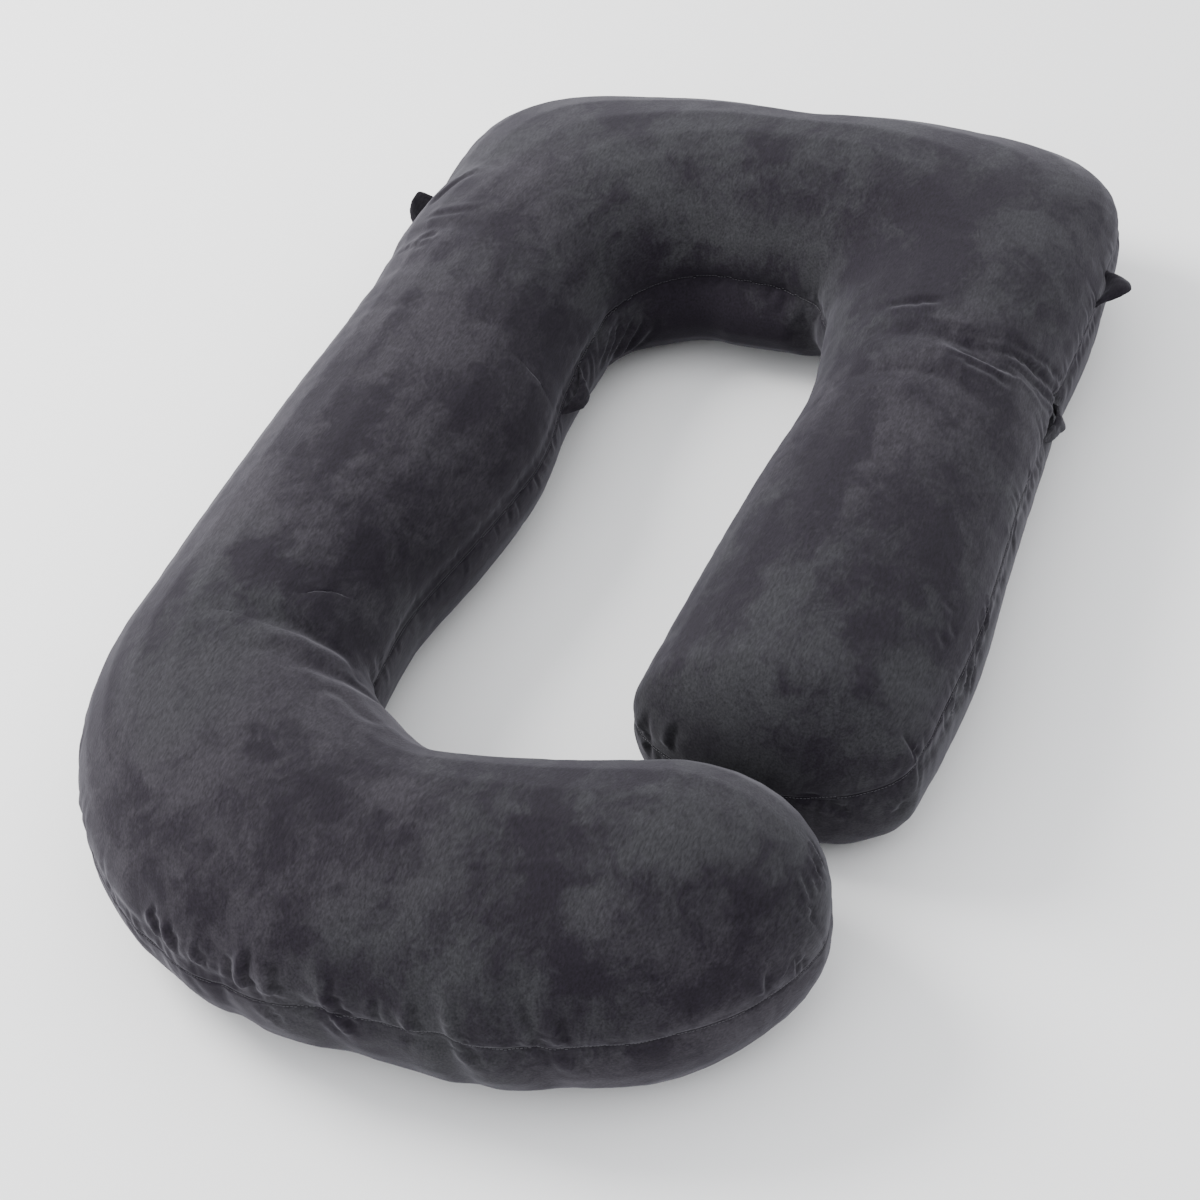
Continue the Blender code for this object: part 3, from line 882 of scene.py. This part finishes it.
tabStrip = {
    "flatWidth": 0.025,
    "quadAngle": 70,
    "levels": 2,
    "closing": 0.0075,          # how much nearer to the cover the inner edge lies than in the part,
    "closingReach": (0.012, 0.030),     # less and less between these distances
    "caughtDeep": 0.0030,       # how deep the two ends are caught in the seam
    "wrinkle": 0.0009,
    "wrinkleSize": 0.016,
    "finer": 2.2,               # how many times smaller the finer wrinkles are, and their share
    "finerShare": 0.5,
    "clothPlace": (0.0, 0.0, 1.0),      # keeps the strips clear of the painted shade along the cover's seam line
    "shade": 0.9,
}
tabs = {
    # new name, flat area in square metres
    "loop_tab_right_upper": ("loopTabRightUpper", 0.0018),
    "loop_tab_right_lower": ("loopTabRightLower", 0.0017),
    "loop_tab_left_upper": ("loopTabLeftUpper", 0.0026),
    "loop_tab_inner_left": ("loopTabInnerLeft", 0.00125),
}


def makeTab(nodeName, newName, seed):
    piece = copyNode(nodeName, newName)
    makeQuads(piece, tabStrip["quadAngle"])
    divide(piece, tabStrip["levels"])
    points = places(piece)
    size = tabStrip["wrinkleSize"]
    crumple = softNoise(points, size, seed)
    crumple += tabStrip["finerShare"] * softNoise(points, size / tabStrip["finer"], seed + 5)
    points[:, 2] += tabStrip["wrinkle"] * crumple
    points = unlevelled(points, seamRise(*onTube(points)))
    nearest = [coverTree.find_nearest(Vector(point)) for point in points]
    towards = np.array([np.array(found[0]) for found in nearest]) - points
    apart = np.array([found[3] for found in nearest])
    closing = tabStrip["closing"] * (1.0 - smooth(apart, *tabStrip["closingReach"]))
    closing = np.minimum(closing, apart + tabStrip["caughtDeep"])
    points += towards * (closing / np.maximum(apart, 1e-5))[:, None]
    setPlaces(piece, points)
    storeCloth(piece, points + tabStrip["clothPlace"], np.zeros(len(points)), np.zeros(len(points)))
    shadeSmooth(piece)
    return piece


tabPieces = []
for seed, nodeName in enumerate(sorted(tabs)):
    newName, area = tabs[nodeName]
    piece = makeTab(nodeName, newName, seed)
    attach(piece, "root")
    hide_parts(nodeName)
    tabPieces.append(piece)
print("tabs made:", len(tabPieces))


# materials

class Wire:
    # one output of a shader node, which Python's operators join to more nodes
    def __init__(self, tree, socket):
        self.tree, self.socket = tree, socket

    def add(self, kind, settings, inputs, output=0):
        made = self.tree.nodes.new(kind)
        for key, value in settings.items():
            if key == "stops":
                ramp = made.color_ramp.elements
                while len(ramp) < len(value):
                    ramp.new(0.5)
                for stop, (position, colour) in zip(ramp, value):
                    stop.position, stop.color = position, colour
            else:
                setattr(made, key, value)
        for key, value in inputs.items():
            if isinstance(value, Wire):
                self.tree.links.new(value.socket, made.inputs[key])
            else:
                made.inputs[key].default_value = value
        return Wire(self.tree, made.outputs[output])

    def maths(self, operation, first, second=0.0):
        return self.add("ShaderNodeMath", {"operation": operation}, {0: first, 1: second})

    def __add__(self, other):
        return self.maths("ADD", self, other)

    def __sub__(self, other):
        return self.maths("SUBTRACT", self, other)

    def __mul__(self, other):
        return self.maths("MULTIPLY", self, other)

    def __rsub__(self, other):
        return self.maths("SUBTRACT", other, self)

    __radd__ = __add__
    __rmul__ = __mul__

    def step(self, low, high):
        # 0 below low, 1 above high, with soft ends
        return self.add("ShaderNodeMapRange", {"interpolation_type": "SMOOTHSTEP"},
                        {"Value": self, "From Min": low, "From Max": high})

    def noise(self, scale, detail=2.0, roughness=0.5, output=0):
        return self.add("ShaderNodeTexNoise", {}, {"Vector": self, "Scale": scale, "Detail": detail,
                        "Roughness": roughness}, output)

    def stretched(self, scale):
        return self.add("ShaderNodeMapping", {}, {"Vector": self, "Scale": scale})

    def pushed(self, scale, reach):
        # this place, moved about by a soft noise
        push = self.noise(scale, 3.0, 0.6, 1)
        push = push.add("ShaderNodeVectorMath", {"operation": "SUBTRACT"},
                        {0: push, 1: (0.5, 0.5, 0.5)})
        return push.add("ShaderNodeVectorMath", {"operation": "MULTIPLY_ADD"},
                        {0: push, 1: (reach, reach, reach), 2: self})

    def mixed(self, factor, other, blend="MIX"):
        # colours: this one where the factor is 0, the other where it is 1
        return self.add("ShaderNodeMix", {"data_type": "RGBA", "blend_type": blend},
                        {0: factor, 6: self, 7: other}, 2)


velvetLook = {
    "dark": (0.0086, 0.0066, 0.0106, 1.0),     # pile brushed away from the light, and the painted shade patch inside the arch
    "light": (0.0236, 0.0210, 0.0260, 1.0),
    "cool": (0.0214, 0.0218, 0.0242, 1.0),
    "coolScale": 2.6,           # where the light pile turns cooler, and by how much
    "coolFrom": (0.42, 0.60),
    "coolShare": 0.8,
    "shader": {"Roughness": 0.88, "Specular IOR Level": 0.15, "Sheen Weight": 0.125,
               "Sheen Roughness": 0.42, "Sheen Tint": (0.90, 0.88, 1.0, 1.0)},
    "driftScale": 11.0,         # the soft noise that moves the patches about, and how far
    "drift": 0.09,
    "along": (1.0, 0.55, 1.0),  # patches are longer along the pillow
    "patchScale": 6.8,
    "smudgeScale": 3.2,         # how many times smaller the small ones are
    "frayScale": (190.0, 60.0, 120.0),
    "patchShare": 3.4,          # how far the broad, small and finest noise shift the tone
    "smudgeShare": 3.2,
    "frayShare": 1.5,
    "napAndPaintedShadeShare": 1.15,           # the same for the placed patches, with the painted shade patch among them
    "toneLow": -0.70,
    "toneHigh": 0.78,
    "dashLength": 0.0040,       # of the pile's fine grain
    "dashWidth": 0.0011,
    "dashScale": 0.55,
    "dashTone": 1.8,
    "foldPaintedShadeAndHighlight": 0.05,           # painted shade in the folds' hollows and painted highlight on their ridges, for each millimetre that a fold stands proud
    "seamPaintedShade": 0.25,           # painted shade: how much darker the seam's line is, and its edge
    "seamEdge": (0.0004, 0.0016),
    "grainStrength": 0.6,
    "grainDepth": 0.00050,
    "smudgeStrength": 0.35,
    "smudgeDepth": 0.0012,
}


def startMaterial(name, values):
    material = bpy.data.materials.new(name)
    material.use_nodes = True
    shader = material.node_tree.nodes["Principled BSDF"]
    for socket, value in values.items():
        shader.inputs[socket].default_value = value
    return material, shader


def velvet(name, look, darker=1.0):
    material, shader = startMaterial(name, look["shader"])
    tree = material.node_tree
    place = Wire(tree, tree.nodes.new("ShaderNodeTexCoord").outputs["Object"])
    cloth = place.add("ShaderNodeAttribute", {"attribute_name": "clothPlace"}, {}, "Vector")
    fold = place.add("ShaderNodeAttribute", {"attribute_name": "fold"}, {}, "Fac")
    # placed patches of the pile, with a patch of painted shade among them
    nap = place.add("ShaderNodeAttribute", {"attribute_name": "nap"}, {}, "Fac")

    moved = place.pushed(look["driftScale"], look["drift"]).stretched(look["along"])
    broad = moved.noise(look["patchScale"], 6.0, 0.62)
    small = moved.noise(look["patchScale"] * look["smudgeScale"], 4.0, 0.60)
    brushed = moved.stretched(look["frayScale"]).noise(1.0, 3.0, 0.6)
    tone = nap * look["napAndPaintedShadeShare"] + (broad - 0.5) * look["patchShare"]
    tone = tone + (small - 0.5) * look["smudgeShare"] + (brushed - 0.5) * look["frayShare"]
    patches = tone.step(look["toneLow"], look["toneHigh"])

    base = place.add("ShaderNodeRGB", {}, {})
    base.socket.default_value = look["light"]
    cooler = place.noise(look["coolScale"]).step(*look["coolFrom"]) * look["coolShare"]
    base = base.mixed(cooler, look["cool"])
    dark = tuple(channel * darker for channel in look["dark"][:3]) + (1.0,)
    base = base.mixed(1.0 - patches, dark)
    across, lengthwise = 1.0 / look["dashWidth"], 1.0 / look["dashLength"]
    dashes = place.stretched((across, lengthwise, across)).noise(look["dashScale"], 2.0, 0.6)
    level = 1.0 + (dashes - 0.5) * look["dashTone"]
    # painted shade in the folds' hollows and painted highlight on their ridges
    level = level * (1.0 + fold * look["foldPaintedShadeAndHighlight"])
    height = cloth.add("ShaderNodeSeparateXYZ", {}, {0: cloth}, 2)
    # painted shade along the seam line
    line = 1.0 - height.maths("ABSOLUTE", height).step(*look["seamEdge"])
    level = level * (1.0 - line * look["seamPaintedShade"])
    grey = level.add("ShaderNodeCombineColor", {}, {0: level, 1: level, 2: level})
    tree.links.new(base.mixed(1.0, grey, "MULTIPLY").socket, shader.inputs["Base Color"])

    bump = dashes.add("ShaderNodeBump", {}, {"Strength": look["grainStrength"],
                      "Distance": look["grainDepth"], "Height": dashes})
    soft = bump.add("ShaderNodeBump", {}, {"Strength": look["smudgeStrength"],
                    "Distance": look["smudgeDepth"], "Height": small, "Normal": bump})
    tree.links.new(soft.socket, shader.inputs["Normal"])
    return material


def threadMaterial():
    material, shader = startMaterial("charcoal sewing thread", thread["shader"])
    tree = material.node_tree
    place = Wire(tree, tree.nodes.new("ShaderNodeTexCoord").outputs["Object"])
    twist = place.noise(thread["twistScale"])
    stops = [(0.35, thread["shaded"]), (0.65, thread["lit"])]
    colour = twist.add("ShaderNodeValToRGB", {"stops": stops}, {"Fac": twist})
    tree.links.new(colour.socket, shader.inputs["Base Color"])
    return material


cover.data.materials.append(velvet("charcoal velvet cover", velvetLook))
for piece in tabPieces:
    piece.data.materials.append(velvet("charcoal velvet tab", velvetLook, tabStrip["shade"]))
stitches.data.materials.append(threadMaterial())
print("materials made")


# the camera, at the photograph's angle

view = {
    "target": (0.025, -0.137, 0.100),
    "distance": 2.846,
    "azimuth": 23.672,
    "pitch": 40.504,
    "roll": -6.123,
    "lens": 87.14,
    "sensor": 36.0,
    "clip": (0.1, 30.0),
}


def addCamera():
    azimuth, pitch, roll = (math.radians(view[key]) for key in ("azimuth", "pitch", "roll"))
    right = Vector((math.cos(azimuth), math.sin(azimuth), 0.0))
    level = Vector((-math.sin(azimuth), math.cos(azimuth), 0.0))
    zenith = Vector((0.0, 0.0, 1.0))
    forward = level * math.cos(pitch) - zenith * math.sin(pitch)
    upward = level * math.sin(pitch) + zenith * math.cos(pitch)
    across = right * math.cos(roll) + upward * math.sin(roll)
    over = upward * math.cos(roll) - right * math.sin(roll)
    bpy.ops.object.camera_add(location=Vector(view["target"]) - forward * view["distance"])
    camera = bpy.context.object
    camera.rotation_euler = Matrix((across, over, -forward)).transposed().to_euler()
    camera.data.lens = view["lens"]
    camera.data.sensor_width = view["sensor"]
    camera.data.clip_start, camera.data.clip_end = view["clip"]
    bpy.context.scene.camera = camera


# a plain pale floor and soft light

studio = {
    "floorSize": 16.0,
    "floorHeight": -0.0005,
    "floorShader": {"Base Color": (0.95, 0.95, 0.95, 1.0), "Roughness": 0.8},
    "skyColour": (0.97, 0.98, 1.0, 1.0),
    "skyStrength": 1.7,
    # place, what it points at, width, watts, colour
    "sideSoftbox": ((-3.0, 0.3, 2.6), (0.0, 0.0, 0.1), 2.0, 225.0, (1.0, 0.99, 0.97)),
    "frontFill": ((-0.9, -3.3, 1.9), (0.0, -0.2, 0.1), 2.0, 22.0, (0.96, 0.97, 1.0)),
}


def addStudio():
    place = (0.0, 0.0, studio["floorHeight"])
    bpy.ops.mesh.primitive_plane_add(size=studio["floorSize"], location=place)
    floor = bpy.context.object
    floor.name = "floor"
    floor.data.materials.append(startMaterial("pale floor", studio["floorShader"])[0])

    world = bpy.context.scene.world or bpy.data.worlds.new("studio")
    bpy.context.scene.world = world
    world.use_nodes = True
    sky = world.node_tree.nodes["Background"].inputs
    sky["Color"].default_value = studio["skyColour"]
    sky["Strength"].default_value = studio["skyStrength"]
    for name in ("sideSoftbox", "frontFill"):
        place, aim, width, watts, colour = studio[name]
        bpy.ops.object.light_add(type="AREA", location=place)
        lamp = bpy.context.object
        lamp.name = name
        lamp.rotation_euler = (Vector(place) - Vector(aim)).to_track_quat("Z", "Y").to_euler()
        lamp.data.shape = "DISK"
        lamp.data.size, lamp.data.energy, lamp.data.color = width, watts, colour


addCamera()
addStudio()
